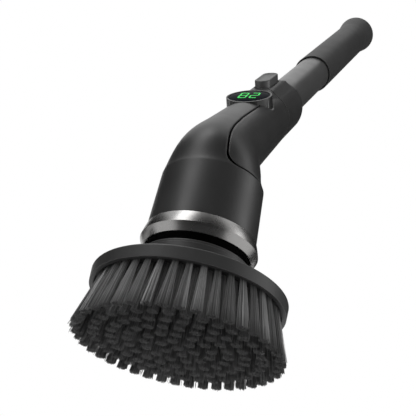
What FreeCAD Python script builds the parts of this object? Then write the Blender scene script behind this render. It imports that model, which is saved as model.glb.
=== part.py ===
"""Battery spin scrubber with an angled telescopic handle.

The brush stands on its bristle tips at z = 0. The head's spin axis is the
Z axis. The handle's own frame leans over towards +X: its Z runs up the handle,
its -X faces the convex side with the display and the button.
"""
import FreeCAD, Part
import Sketcher
import math
import os

Vector = FreeCAD.Vector
doc = FreeCAD.newDocument("spin_scrubber")
sheet = doc.addObject("Spreadsheet::Sheet", "dims")
rows = []
nodes = []


def sizes(**named):
    """Add named values to the sheet; a text is a formula of earlier names."""
    for name, number in named.items():
        rows.append(name)
        row = len(rows)
        sheet.set("A%d" % row, name)
        sheet.set("B%d" % row, str(number))
        sheet.setAlias("B%d" % row, name)
    sheet.recompute()


def amount(text):
    """The number that a sum of names gives now, such as "hub_r - hub_wall"."""
    total = 0.0
    sign = 1
    for word in text.split():
        if word in ("+", "-"):
            sign = -1 if word == "-" else 1
        elif word != "0":
            total += sign * float(sheet.get(word))
    return total


def formula(text):
    """The same sum written with the sheet's name before each value."""
    words = [w if w in ("+", "-", "0") else "dims." + w for w in text.split()]
    return " ".join(words)


def flip(text):
    """The sum with every sign turned, so that it can be taken away."""
    words = text.split()
    if words[0] not in ("+", "-"):
        words.insert(0, "+")
    swap = {"+": "-", "-": "+"}
    words = [swap.get(word, word) for word in words]
    return " ".join(words[1:] if words[0] == "+" else words)


def plus(*texts):
    """One sum made of several."""
    return " ".join(t if i == 0 or t.startswith("- ") else "+ " + t for i, t in enumerate(texts))


def bind(item, name, text):
    item.setExpression(name, formula(text))


def lean(item):
    """Seat an item in the handle's frame."""
    base = Vector(amount("handle_x"), 0, amount("handle_z"))
    turn = FreeCAD.Rotation(Vector(0, 1, 0), amount("handle_tilt"))
    item.Placement = FreeCAD.Placement(base, turn)
    bind(item, ".Placement.Base.x", "handle_x")
    bind(item, ".Placement.Base.z", "handle_z")
    item.setExpression(".Placement.Rotation.Angle", "dims.handle_tilt * 1 deg")


def keep(item, name):
    """Make an item one of the finished pieces."""
    item.Label = name
    nodes.append(item)
    return item


def new_body(name, leaning=False):
    body = doc.addObject("PartDesign::Body", name)
    if leaning:
        lean(body)
    return body


def place_point(sketch, geo, end, across, along):
    """Tie one end of an edge to its two coordinates."""
    for kind, text, axis in (("DistanceX", across, -2), ("DistanceY", along, -1)):
        if text == "0":
            sketch.addConstraint(Sketcher.Constraint("PointOnObject", geo, end, axis))
        else:
            sketch.addConstraint(Sketcher.Constraint(kind, geo, end, amount(text)))
            bind(sketch, "Constraints[%d]" % (sketch.ConstraintCount - 1), text)


def draw_circle(sketch, across, along, radius):
    centre = Vector(amount(across), amount(along), 0)
    geo = sketch.addGeometry(Part.Circle(centre, Vector(0, 0, 1), amount(radius)), False)
    place_point(sketch, geo, 3, across, along)
    sketch.addConstraint(Sketcher.Constraint("Radius", geo, amount(radius)))
    bind(sketch, "Constraints[%d]" % (sketch.ConstraintCount - 1), radius)


def arc_between(start, end, radius, side):
    """The short arc from start to end that turns to the side named."""
    half = (end - start) * 0.5
    rise = math.sqrt(max(radius ** 2 - half.Length ** 2, 0))
    left = Vector(-half.y, half.x, 0).normalize()
    centre = start + half + left * (rise if side == "left" else -rise)
    first, last = (start, end) if side == "left" else (end, start)
    angles = [math.atan2(p.y - centre.y, p.x - centre.x) for p in (first, last)]
    return Part.ArcOfCircle(Part.Circle(centre, Vector(0, 0, 1), radius), angles[0], angles[1])


def draw_loop(sketch, corners):
    """A closed outline. A corner is (across, along) or (across, along, arc),
    where the arc, such as "left edge_round", runs to the next corner."""
    places = [Vector(amount(c[0]), amount(c[1]), 0) for c in corners]
    edges = []
    for i, corner in enumerate(corners):
        start, end = places[i], places[(i + 1) % len(places)]
        if len(corner) == 2:
            geo = sketch.addGeometry(Part.LineSegment(start, end), False)
            edges.append((geo, 1, 2))
            continue
        side, radius = corner[2].split(" ", 1)
        geo = sketch.addGeometry(arc_between(start, end, amount(radius), side), False)
        edges.append((geo, 1, 2) if side == "left" else (geo, 2, 1))
    for i, corner in enumerate(corners):
        before, edge = edges[i - 1], edges[i]
        sketch.addConstraint(Sketcher.Constraint("Coincident", before[0], before[2], edge[0], edge[1]))
        place_point(sketch, edge[0], edge[1], corner[0], corner[1])
        if len(corner) == 3:
            radius = corner[2].split(" ", 1)[1]
            sketch.addConstraint(Sketcher.Constraint("Radius", edge[0], amount(radius)))
            bind(sketch, "Constraints[%d]" % (sketch.ConstraintCount - 1), radius)


def draw(body, plane, loops, lift="0"):
    """A sketch on one of the body's planes, lifted along that plane's normal."""
    sketch = body.newObject("Sketcher::SketchObject", body.Name + "_sketch")
    face = [f for f in body.Origin.OriginFeatures if f.Role == plane + "_Plane"][0]
    sketch.AttachmentSupport = [(face, "")]
    sketch.MapMode = "FlatFace"
    if lift != "0":
        bind(sketch, ".AttachmentOffset.Base.z", lift)
    for loop in loops:
        if loop[0] == "circle":
            draw_circle(sketch, *loop[1:])
        else:
            draw_loop(sketch, loop)
    return sketch


def turned(name, corners, leaning=False):
    """A body turned about its own Z axis from an outline of (radius, height)."""
    body = new_body(name, leaning)
    sketch = draw(body, "XZ", [corners])
    turn = body.newObject("PartDesign::Revolution", name + "_turn")
    turn.Profile = sketch
    turn.ReferenceAxis = (sketch, ["V_Axis"])
    turn.Angle = 360
    return body


def pad(body, plane, loops, start, length):
    """Add material from start over a length, along the plane's normal."""
    sketch = draw(body, plane, loops, start)
    feature = body.newObject("PartDesign::Pad", body.Name + "_pad")
    feature.Profile = sketch
    bind(feature, "Length", length)
    body.Tip = feature
    return feature


def cut(body, plane, loops, start, length):
    """Take material away from start over a length, along the plane's normal."""
    doc.recompute()
    before = body.Shape.Volume
    sketch = draw(body, plane, loops, start)
    feature = body.newObject("PartDesign::Pocket", body.Name + "_pocket")
    feature.Profile = sketch
    feature.Reversed = True
    bind(feature, "Length", length)
    body.Tip = feature
    doc.recompute()
    if body.Shape.Volume >= before:
        raise RuntimeError("a pocket cuts nothing in " + body.Name)
    return feature


def padded(name, plane, loops, start, length, leaning=False):
    body = new_body(name, leaning)
    pad(body, plane, loops, start, length)
    return body


def around(body, features, count):
    """Repeat features evenly about the body's Z axis."""
    doc.recompute()
    axis = [f for f in body.Origin.OriginFeatures if f.Role == "Z_Axis"][0]
    pattern = body.newObject("PartDesign::PolarPattern", body.Name + "_pattern")
    pattern.Originals = features
    pattern.Axis = (axis, [""])
    pattern.Angle = 360
    bind(pattern, "Occurrences", count)
    body.Tip = pattern
    return pattern


def rectangle(left, right, low, high):
    return [(left, low), (right, low), (right, high), (left, high)]


def rounded(half_wide, middle, half_long, corner):
    """A rounded rectangle about (0, middle), as an outline."""
    inside = plus(half_wide, flip(corner))
    low, high = plus(middle, flip(half_long)), plus(middle, half_long)
    bend = "left " + corner
    return [
        (inside, low, bend), (half_wide, plus(low, corner)),
        (half_wide, plus(high, flip(corner)), bend), (inside, high),
        (flip(inside), high, bend), (flip(half_wide), plus(high, flip(corner))),
        (flip(half_wide), plus(low, corner), bend), (flip(inside), low),
    ]


def ridge_outline():
    """The ridge that carries the button, cut across the handle."""
    side = [("- ridge_in", "ridge_root"), ("- ridge_foot_off", "ridge_foot"),
            ("- ridge_side_off", "ridge_side", "left ridge_round"), ("- ridge_top", "ridge_half")]
    mirror = [(corner[0], flip(corner[1])) for corner in reversed(side)]
    mirror[0] += ("left ridge_round",)
    return side + mirror


def joined(name, kind, first, second):
    """A boolean of two items: Part::Cut, Part::Common or Part::Fuse."""
    item = doc.addObject(kind, name)
    item.Base = first
    item.Tool = second
    return item


def brush_head():
    """The snap-on brush: a disc with a drum for a hub, and its drive socket."""
    sizes(disc_r=60.6, disc_low_r=60.3, disc_top=37.7, rim_low=29.5, rim_wall=2.8,
          web_low=33.2, edge_round=1.2, hub_r=34.3, hub_wall=2.6, hub_joint=54.0,
          hub_top=56.0, hub_round=1.0, plug_low=52.0, boss_r=10.5, socket_r=7.5,
          magnet_top=40.5, socket_flat=4.1, hex_share=1.1547)
    sizes(socket_corner="=socket_flat * hex_share", socket_half="=socket_flat * hex_share / 2")
    drum_in = "hub_r - hub_wall"
    rim_in = "disc_low_r - rim_wall"
    disc = turned("disc", [
        ("0", "web_low"), (rim_in, "web_low"), (rim_in, "rim_low"), ("disc_low_r", "rim_low"),
        ("disc_r", "disc_top - edge_round", "left edge_round"), ("disc_r - edge_round", "disc_top"),
        ("hub_r", "disc_top"), ("hub_r", "hub_joint"), (drum_in, "hub_joint"),
        (drum_in, "disc_top"), ("0", "disc_top")])
    keep(disc, "brush_disc")
    cover = turned("cover", [
        ("socket_r", "disc_top"), ("boss_r", "disc_top"), ("boss_r", "plug_low"),
        (drum_in, "plug_low"), (drum_in, "hub_joint"), ("hub_r", "hub_joint"),
        ("hub_r", "hub_top - hub_round", "left hub_round"), ("hub_r - hub_round", "hub_top"),
        ("socket_r", "hub_top")])
    keep(cover, "hub_cover")
    magnet = padded("magnet", "XY", [("circle", "0", "0", "socket_r")],
                    "disc_top", "magnet_top - disc_top")
    keep(magnet, "hub_magnet")
    hexagon = [
        ("socket_corner", "0"), ("socket_half", "socket_flat"), ("- socket_half", "socket_flat"),
        ("- socket_corner", "0"), ("- socket_half", "- socket_flat"), ("socket_half", "- socket_flat")]
    socket = padded("socket", "XY", [("circle", "0", "0", "socket_r"), hexagon],
                    "magnet_top", "hub_top - magnet_top")
    keep(socket, "drive_socket")


def bristles():
    """Rings of bundles, each splayed outwards and trimmed flat at the tip."""
    sizes(tuft_top=35.2, tuft_root_r=2.0, tuft_tip_r=3.75, tip_step=0.4, ring_root_step=8.85,
          ring_tip_step=10.15, ring_count_1=6, ring_count_2=13, ring_count_3=20,
          ring_count_4=27, ring_count_5=34, ring_count_6=42)
    for ring in range(1, 7):
        tail = "_%d" % ring
        lift = "tip_step" if ring < 6 else "0"
        sizes(**{"ring_root" + tail: "=ring_root_step * %d" % ring,
                 "ring_tip" + tail: "=ring_tip_step * %d" % ring})
        body = new_body("tufts" + tail)
        root = draw(body, "XY", [("circle", "ring_root" + tail, "0", "tuft_root_r")], "tuft_top")
        tip = draw(body, "XY", [("circle", "ring_tip" + tail, "0", "tuft_tip_r")], lift)
        tuft = body.newObject("PartDesign::AdditiveLoft", body.Name + "_loft")
        tuft.Profile = root
        tuft.Sections = [tip]
        tuft.Ruled = True
        around(body, [tuft], "ring_count" + tail)
        keep(body, "bristle_ring" + tail)
    centre = turned("tuft_middle", [
        ("0", "0"), ("tuft_tip_r", "0"), ("tuft_root_r", "tuft_top"), ("0", "tuft_top")])
    keep(centre, "bristle_centre")


def gear_blank(name, root_r, low, wide):
    """The plain disc that a gear's teeth stand on."""
    return padded(name, "XY", [("circle", "0", "0", root_r)], low, wide)


def gear_sizes(gear, teeth, out=1):
    """Named radii and tooth widths of one gear; out is -1 for inside teeth."""
    pitch = "gear_module * %s / 2" % teeth
    step = "gear_module * tooth_pi"
    sizes(**{
        gear + "_root": "=%s - %d * gear_module * root_share" % (pitch, out),
        gear + "_tip": "=%s + %d * gear_module * tip_share" % (pitch, out),
        gear + "_foot": "=%s * foot_share / 2" % step,
        gear + "_crown": "=%s * crown_share / 2" % step})


def tooth(gear):
    """One straight-sided tooth on the +X side of a gear."""
    root, tip, foot, crown = (gear + end for end in ("_root", "_tip", "_foot", "_crown"))
    return [(root + " - tooth_sink", "- " + foot), (root, "- " + foot), (tip, "- " + crown),
            (tip, crown), (root, foot), (root + " - tooth_sink", foot)]


def gearbox():
    """One planetary stage: sun on the motor, planets on the spindle, ring fixed."""
    sizes(gear_module=0.7, sun_teeth=12, planet_teeth=27, ring_teeth=66, root_share=1.25,
          tip_share=0.9, foot_share=0.5, crown_share=0.24, tooth_pi=3.14159, tooth_sink=0.5,
          gear_low=83.5, gear_wide=10.0, shaft_r=1.6, pin_r=2.0, fit_gap=0.05, pin_top=94.0,
          spindle_r=5.0, spindle_low=58.0, spindle_top=82.5, hex_low=41.0, hex_flat=4.0,
          carrier_r=20.0, carrier_low=79.5, ring_low=83.0, ring_wide=12.0, ring_gear_r=27.5)
    sizes(planet_reach="=gear_module * (sun_teeth + planet_teeth) / 2",
          hex_corner="=hex_flat * hex_share", hex_half="=hex_flat * hex_share / 2",
          ring_half_pitch="=180 / ring_teeth")
    gear_sizes("sun", "sun_teeth")
    gear_sizes("planet", "planet_teeth")
    gear_sizes("ring", "ring_teeth", -1)
    spindle = padded("spindle", "XY", [("circle", "0", "0", "spindle_r")],
                     "spindle_low", "spindle_top - spindle_low")
    pad(spindle, "XY", [[
        ("hex_corner", "0"), ("hex_half", "hex_flat"), ("- hex_half", "hex_flat"),
        ("- hex_corner", "0"), ("- hex_half", "- hex_flat"), ("hex_half", "- hex_flat")]],
        "hex_low", "spindle_low - hex_low")
    keep(spindle, "output_spindle")
    carrier = padded("carrier", "XY", [("circle", "0", "0", "carrier_r"),
                     ("circle", "0", "0", "spindle_r")], "carrier_low", "spindle_top - carrier_low")
    pin = pad(carrier, "XY", [("circle", "planet_reach", "0", "pin_r")],
              "spindle_top", "pin_top - spindle_top")
    sizes(planet_count=3)
    around(carrier, [pin], "planet_count")
    keep(carrier, "planet_carrier")
    sun = gear_blank("sun", "sun_root", "gear_low", "gear_wide")
    around(sun, [pad(sun, "XY", [tooth("sun")], "gear_low", "gear_wide")], "sun_teeth")
    cut(sun, "XY", [("circle", "0", "0", "shaft_r")], "gear_low", "gear_wide")
    keep(sun, "sun_gear")
    for k in range(3):
        turn = k * 360 / amount("planet_count")
        planet = gear_blank("planet_%d" % (k + 1), "planet_root", "gear_low", "gear_wide")
        teeth = pad(planet, "XY", [tooth("planet")], "gear_low", "gear_wide")
        around(planet, [teeth], "planet_teeth")
        cut(planet, "XY", [("circle", "0", "0", "pin_r + fit_gap")], "gear_low", "gear_wide")
        bind(planet, ".Placement.Base.x", "planet_reach")
        planet.setExpression(".Placement.Base.x", "dims.planet_reach * cos(%g deg)" % turn)
        planet.setExpression(".Placement.Base.y", "dims.planet_reach * sin(%g deg)" % turn)
        planet.Placement.Rotation = FreeCAD.Rotation(Vector(0, 0, 1), turn)
        keep(planet, "planet_gear_%d" % (k + 1))
    ring = padded("ring", "XY", [("circle", "0", "0", "ring_gear_r"),
                  ("circle", "0", "0", "ring_root")], "ring_low", "ring_wide")
    inner = [("ring_root + tooth_sink", "- ring_foot"), ("ring_root + tooth_sink", "ring_foot"),
             ("ring_root", "ring_foot"), ("ring_tip", "ring_crown"), ("ring_tip", "- ring_crown"),
             ("ring_root", "- ring_foot")]
    around(ring, [pad(ring, "XY", [inner], "ring_low", "ring_wide")], "ring_teeth")
    ring.Placement.Rotation = FreeCAD.Rotation(Vector(0, 0, 1), amount("ring_half_pitch"))
    ring.setExpression(".Placement.Rotation.Angle", "dims.ring_half_pitch * 1 deg")
    keep(ring, "ring_gear")


def gear_case():
    """What closes the barrel's lower end and holds the spindle."""
    sizes(case_r=30.2, flange_r=32.4, case_low=68.6, flange_top=73.9, case_top=96.0,
          case_floor=78.6, bearing_r=13.0, bearing_low=70.2, bearing_high=78.2, lip_r=10.5,
          seal_low=65.6, skirt_low=62.0, skirt_wall=1.5, seal_r=9.0, seal_lip=65.2,
          cover_high=98.5, can_boss_r=6.5, cover_screw_at=28.85, cover_screw_r=1.0,
          cover_screw_low=88.0, cover_head_r=1.9, cover_head_high=100.0,
          motor_screw_at=11.5, motor_screw_r=1.4, pair=2)
    case = turned("case", [
        ("lip_r", "case_low"), ("flange_r", "case_low"), ("flange_r", "flange_top"),
        ("case_r", "flange_top"), ("case_r", "case_top"), ("ring_gear_r", "case_top"),
        ("ring_gear_r", "case_floor"), ("bearing_r", "case_floor"), ("bearing_r", "bearing_low"),
        ("lip_r", "bearing_low")])
    keep(case, "gearbox_case")
    bearing = padded("bearing", "XY", [("circle", "0", "0", "bearing_r"),
                     ("circle", "0", "0", "spindle_r + fit_gap")],
                     "bearing_low", "bearing_high - bearing_low")
    keep(bearing, "spindle_bearing")
    plate = turned("plate", [
        ("seal_r", "seal_low"), ("flange_r - skirt_wall", "seal_low"),
        ("flange_r - skirt_wall", "skirt_low"), ("flange_r", "skirt_low"),
        ("flange_r", "case_low"), ("seal_r", "case_low")])
    keep(plate, "seal_plate")
    seal = padded("seal", "XY", [("circle", "0", "0", "seal_r"),
                  ("circle", "0", "0", "spindle_r + fit_gap")], "seal_lip", "case_low - seal_lip")
    keep(seal, "shaft_seal")
    top = padded("top", "XY", [("circle", "0", "0", "case_r"), ("circle", "0", "0", "can_boss_r")],
                 "case_top", "cover_high - case_top")
    hole = cut(top, "XY", [("circle", "cover_screw_at", "0", "cover_screw_r")],
               "case_top", "cover_high - case_top")
    around(top, [hole], "planet_count")
    hole = cut(top, "XY", [("circle", "0", "motor_screw_at", "motor_screw_r")],
               "case_top", "cover_high - case_top")
    around(top, [hole], "pair")
    keep(top, "gearbox_cover")
    screws = new_body("cover_screws")
    shank = pad(screws, "XY", [("circle", "cover_screw_at", "0", "cover_screw_r")],
                "cover_screw_low", "cover_high - cover_screw_low")
    head = pad(screws, "XY", [("circle", "cover_screw_at", "0", "cover_head_r")],
               "cover_high", "cover_head_high - cover_high")
    around(screws, [shank, head], "planet_count")
    keep(screws, "gearbox_screws")


def motor():
    """A brushed can motor standing on the gearbox cover."""
    sizes(can_r=17.9, can_wall=1.2, can_top=143.0, can_floor=99.9, end_top=147.0,
          shaft_low=83.3, shaft_top=146.5, magnet_r=14.3, magnets_low=103.0, magnets_high=135.0,
          core_r=13.7, core_low=106.0, core_high=132.0, slot_half=1.1, slot_in=5.0, slot_count=5,
          contact_r=5.0, contact_low=134.0, contact_high=141.0, carbon_low=136.0,
          carbon_out=9.0, carbon_half=1.5, tag_half=2.4, tag_at=10.0,
          tag_thick=0.8, tag_top=150.0,
          motor_head_r=2.6, motor_head_low=94.6, motor_screw_top=101.0)
    hole = "shaft_r + fit_gap"
    can = turned("can", [
        (hole, "case_top"), ("can_boss_r", "case_top"), ("can_boss_r", "cover_high"),
        ("can_r", "cover_high"), ("can_r", "can_top"), ("can_r - can_wall", "can_top"),
        ("can_r - can_wall", "can_floor"), (hole, "can_floor")])
    keep(can, "motor_can")
    end = padded("end", "XY", [("circle", "0", "0", "can_r"), ("circle", "0", "0", hole)],
                 "can_top", "end_top - can_top")
    keep(end, "motor_end_cap")
    tags = new_body("tags")
    tag = pad(tags, "XY", [rectangle("tag_at", "tag_at + tag_thick", "- tag_half", "tag_half")],
              "end_top", "tag_top - end_top")
    around(tags, [tag], "pair")
    keep(tags, "motor_terminals")
    ring = padded("magnets", "XY", [("circle", "0", "0", "can_r - can_wall"),
                  ("circle", "0", "0", "magnet_r")], "magnets_low", "magnets_high - magnets_low")
    keep(ring, "magnet_ring")
    shaft = padded("shaft", "XY", [("circle", "0", "0", "shaft_r")],
                   "shaft_low", "shaft_top - shaft_low")
    keep(shaft, "motor_shaft")
    core = padded("core", "XY", [("circle", "0", "0", "core_r"), ("circle", "0", "0", "shaft_r")],
                  "core_low", "core_high - core_low")
    slot = cut(core, "XY", [rectangle("slot_in", "core_r + slot_half", "- slot_half", "slot_half")],
               "core_low", "core_high - core_low")
    around(core, [slot], "slot_count")
    keep(core, "armature")
    contact = padded("contact", "XY", [("circle", "0", "0", "contact_r"),
                     ("circle", "0", "0", "shaft_r")], "contact_low", "contact_high - contact_low")
    keep(contact, "commutator")
    carbons = new_body("carbons")
    carbon = pad(carbons, "XY", [rectangle("contact_r + fit_gap", "carbon_out",
                 "- carbon_half", "carbon_half")], "carbon_low", "can_top - carbon_low")
    around(carbons, [carbon], "pair")
    keep(carbons, "carbon_brushes")
    screws = new_body("motor_screw")
    shank = pad(screws, "XY", [("circle", "0", "motor_screw_at", "motor_screw_r")],
                "case_top", "motor_screw_top - case_top")
    head = pad(screws, "XY", [("circle", "0", "motor_screw_at", "motor_head_r")],
               "motor_head_low", "case_top - motor_head_low")
    around(screws, [shank, head], "pair")
    keep(screws, "motor_screws")


def section(name, place, half, side, inset):
    """One elliptical section of the elbow; inset moves it in by the wall."""
    item = doc.addObject("Part::Ellipse", name)
    bind(item, "MajorRadius", half + inset)
    bind(item, "MinorRadius", side + inset)
    across, height, tilt = place
    item.setExpression(".Placement.Base.x", across)
    item.setExpression(".Placement.Base.z", height)
    item.Placement.Rotation = FreeCAD.Rotation(Vector(0, 1, 0), amount(tilt) if tilt != "0" else 0)
    if tilt != "0":
        item.setExpression(".Placement.Rotation.Angle", formula(tilt) + " * 1 deg")
    return item


def elbow(name, inset):
    """The bent body as one solid: the barrel, the swept bend and the neck."""
    barrel = doc.addObject("Part::Cone", name + "_barrel")
    bind(barrel, "Radius1", "barrel_low_r" + inset)
    bind(barrel, "Radius2", "barrel_high_r" + inset)
    bind(barrel, "Height", "seam_z - flange_top")
    bind(barrel, ".Placement.Base.z", "flange_top")
    stations = [section(name + "_start", ("0", formula("seam_z"), "0"),
                        "barrel_high_r", "barrel_high_r", inset)]
    for tail in ("_1", "_2"):
        stations.append(section(name + "_bend" + tail, (formula("bend_x" + tail),
                        formula("bend_z" + tail), "bend_tilt" + tail),
                        "bend_half" + tail, "bend_side" + tail, inset))
    for at in ("neck_start", "neck_mid", "neck_low", "neck_top"):
        across = ("dims.handle_x + dims.%s * sin(dims.handle_tilt * 1 deg)"
                  " - dims.%s_out * cos(dims.handle_tilt * 1 deg)" % (at, at))
        height = ("dims.handle_z + dims.%s * cos(dims.handle_tilt * 1 deg)"
                  " + dims.%s_out * sin(dims.handle_tilt * 1 deg)" % (at, at))
        stations.append(section(name + "_" + at, (across, height, "handle_tilt"),
                        at + "_r", at + "_r", inset))
    sweep = doc.addObject("Part::Loft", name + "_sweep")
    sweep.Sections = stations[:-1]
    sweep.Solid = True
    neck = doc.addObject("Part::Loft", name + "_neck")
    neck.Sections = stations[-2:]
    neck.Solid = True
    neck.Ruled = True
    return joined(name, "Part::Fuse", joined(name + "_head", "Part::Fuse", barrel, sweep), neck)


def front_region(name, grow):
    """The space of the front cover: below the seam, and a strip up the neck."""
    strip = new_body(name + "_strip")
    low, high = "seam_z" + grow, "strip_top"
    near = [("strip_y_4", high), ("strip_y_3", "strip_z_3"), ("strip_y_2", "strip_z_2"),
            ("strip_y_1", "strip_z_1" + grow, "right flare_round"), ("flare_y", low),
            ("flare_y", "strip_foot")]
    near = [(flip(corner[0] + grow),) + corner[1:] for corner in near]
    far = [("far_y_0" + grow, "strip_foot"), ("far_y_0" + grow, low), ("far_y_1" + grow, "strip_z_1"),
           ("far_y_2" + grow, "strip_z_2"), ("far_y_3" + grow, "strip_z_3"), ("far_y_4" + grow, high)]
    pad(strip, "YZ", [far + near], "- tool_reach", "tool_reach + tool_reach")
    upper = new_body(name + "_upper", True)
    pad(upper, "YZ", [rectangle("- tool_reach", "tool_reach", "- tool_reach", "display_at" + grow)],
        "- tool_reach", "tool_reach")
    slab = doc.addObject("Part::Box", name + "_slab")
    for letter in "xy":
        bind(slab, ".Placement.Base." + letter, "- tool_reach")
    for side in ("Length", "Width"):
        bind(slab, side, "tool_reach + tool_reach")
    bind(slab, "Height", low)
    return joined(name, "Part::Fuse", joined(name + "_part", "Part::Common", strip, upper), slab)


def shells():
    """The front cover with the barrel, and the rear shell of the handle."""
    sizes(handle_tilt=41.1, handle_x=19.1, handle_z=156.5, barrel_low_r=34.7, barrel_high_r=33.2,
          seam_z=112.6, wall=2.4, bend_x_1=-0.96, bend_z_1=122.0, bend_tilt_1=7.0,
          bend_half_1=31.7, bend_side_1=30.2, bend_x_2=3.7, bend_z_2=135.8, bend_tilt_2=25.0,
          bend_half_2=29.0, bend_side_2=26.5, neck_start=-12.0, neck_start_r=24.14,
          neck_start_out=0.92, neck_mid=-8.5, neck_mid_r=24.045, neck_mid_out=0.885,
          neck_low=-5.0, neck_low_r=23.95, neck_low_out=0.85, neck_top=81.2, neck_top_r=21.6,
          neck_top_out=0.0, groove=1.2, flare_y=23.5, flare_round=9.2, strip_foot=100.0, strip_top=230.0,
          strip_y_1=14.6, strip_z_1=121.8, strip_y_2=12.9, strip_z_2=137.0, strip_y_3=10.6,
          strip_z_3=165.0, strip_y_4=10.4, far_y_0=31.5, far_y_1=29.3, far_y_2=24.0,
          far_y_3=20.5, far_y_4=19.0, tool_reach=90.0, display_at=51.0, display_r=16.6,
          display_hole=0.1, post_r=3.4, post_out=22.6, post_gap=0.3, rear_post_r=4.4,
          rear_post_out=22.0, screw_at=0.5, screw_r=1.3, screw_tip=12.0, head_r=2.8,
          head_low=20.4, head_high=22.6, head_room=0.3, sleeve_r=19.15, sleeve_in=17.6,
          sleeve_low=74.4, sleeve_top=90.0,
          sleeve_root=20.2, notch_half=8.3, notch_top=92.0, notch_in=15.0,
          ridge_half=4.6, ridge_top=23.4, ridge_side=9.4, ridge_side_off=21.4, ridge_foot=15.4,
          ridge_foot_off=15.0, ridge_round=7.0, ridge_root=10.0, ridge_in=17.3,
          ridge_start=60.0, ridge_end=124.0, ridge_end_off=21.6, ridge_slope=9.0)
    outer = elbow("outer", "")
    inner = elbow("inner", " - wall")
    hollow = joined("hollow", "Part::Cut", outer, inner)
    hole = padded("display_cut", "YZ", [("circle", "0", "display_at", "display_r + display_hole")],
                  "- tool_reach", "tool_reach", True)
    shell = joined("shell", "Part::Cut", hollow, hole)
    front = joined("front_shell", "Part::Common", shell, front_region("front_zone", ""))
    rear = joined("rear_raw", "Part::Cut", shell, front_region("rear_zone", " + groove"))
    post = padded("post", "YZ", [("circle", "0", "screw_at", "post_r"),
                  ("circle", "0", "screw_at", "screw_r")], "- post_out", "post_out", True)
    keep(joined("front", "Part::Fuse", front, post), "front_cover")
    rear_post = padded("rear_post", "YZ", [("circle", "0", "screw_at", "rear_post_r")],
                       "post_gap", "rear_post_out - post_gap", True)
    sleeve = turned("sleeve", [
        ("sleeve_in", "sleeve_low"), ("sleeve_root", "sleeve_low"), ("sleeve_root", "neck_top"),
        ("sleeve_r", "neck_top"), ("sleeve_r", "sleeve_top"), ("sleeve_in", "sleeve_top")], True)
    solid = joined("rear_joined", "Part::Fuse", rear, rear_post)
    solid = joined("rear_solid", "Part::Fuse", solid, sleeve)
    ridge = padded("ridge", "XY", [ridge_outline()], "ridge_start", "neck_top - ridge_start", True)
    ridge = joined("ridge_cut", "Part::Cut", ridge, hole)
    solid = joined("rear_ridged", "Part::Fuse", solid, ridge)
    bore = padded("rear_bore", "YZ", [("circle", "0", "screw_at", "screw_r")],
                  "0", "head_low", True)
    pad(bore, "YZ", [("circle", "0", "screw_at", "head_r + head_room")], "head_low", "post_r")
    notch = padded("notch", "YZ", [rectangle("- notch_half", "notch_half", "neck_top", "notch_top")],
                   "- post_out", "post_out - notch_in", True)
    solid = joined("rear_notched", "Part::Cut", solid, notch)
    keep(joined("rear", "Part::Cut", solid, bore), "rear_shell")
    screw = padded("shell_screw", "YZ", [("circle", "0", "screw_at", "screw_r")],
                   "- screw_tip", "screw_tip + head_low", True)
    pad(screw, "YZ", [("circle", "0", "screw_at", "head_r")], "head_low", "head_high - head_low")
    keep(screw, "shell_screw")
    sizes(ring_low_z=60.8, ring_mouth_r=33.7, ring_foot_r=34.4, ring_max_r=37.2, ring_max_z=66.2,
          ring_top_r=35.1, ring_belly=40.0, ring_bow=60.0, ring_lead_z=62.6)
    ring = turned("collar", [
        ("ring_mouth_r", "ring_low_z"), ("ring_foot_r", "ring_low_z", "left ring_belly"),
        ("ring_max_r", "ring_max_z", "left ring_bow"), ("ring_top_r", "flange_top"),
        ("flange_r", "flange_top"), ("flange_r", "ring_lead_z")])
    keep(ring, "trim_ring")


def display():
    """A round display in a cup that stands on the neck."""
    sizes(cup_wall=1.4, cup_top=24.5, cup_floor=14.0, cup_low=12.5, lens_r=15.1, lens_low=22.9,
          lens_top=24.2, screen_low=20.9, screen_r=14.2, ledge_r=14.3, ledge_low=21.2, stand_r=9.0)
    cup = padded("cup", "YZ", [("circle", "0", "display_at", "display_r")],
                 "- cup_floor", "cup_floor - cup_low", True)
    pad(cup, "YZ", [("circle", "0", "display_at", "display_r"),
        ("circle", "0", "display_at", "display_r - cup_wall")], "- cup_top", "cup_top - cup_floor")
    pad(cup, "YZ", [("circle", "0", "display_at", "display_r"),
        ("circle", "0", "display_at", "ledge_r")], "- lens_low", "lens_low - ledge_low")
    keep(cup, "display_bezel")
    lens = padded("lens", "YZ", [("circle", "0", "display_at", "lens_r")],
                  "- lens_top", "lens_top - lens_low", True)
    keep(lens, "display_lens")
    screen = padded("screen", "YZ", [("circle", "0", "display_at", "screen_r")],
                    "- lens_low", "lens_low - screen_low", True)
    pad(screen, "YZ", [("circle", "0", "display_at", "stand_r")],
        "- screen_low", "screen_low - cup_floor")
    keep(screen, "display_module")


def battery():
    """Two round cells side by side in a carrier inside the neck."""
    sizes(cell_r=9.2, cell_y=9.3, cell_low=7.0, cell_high=72.0, cell_off=3.0, plate_r=17.2,
          plate_wide=1.2, plate_gap=0.2, foot_half=6.0, foot_in=12.4, foot_out=18.4)
    for side, sign in (("left", ""), ("right", "- ")):
        cell = padded("cell_" + side, "XY", [("circle", "cell_off", sign + "cell_y", "cell_r")],
                      "cell_low", "cell_high - cell_low", True)
        keep(cell, "battery_cell_" + side)
    frame = padded("frame", "XY", [("circle", "0", "0", "plate_r")],
                   "cell_low - plate_gap - plate_wide", "plate_wide", True)
    pad(frame, "XY", [("circle", "0", "0", "plate_r")], "cell_high + plate_gap", "plate_wide")
    pad(frame, "XY", [rectangle("foot_in", "foot_out", "- foot_half", "foot_half")],
        "cell_low - plate_gap - plate_wide",
        "cell_high - cell_low + plate_gap + plate_gap + plate_wide + plate_wide")
    keep(frame, "cell_holder")


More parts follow.
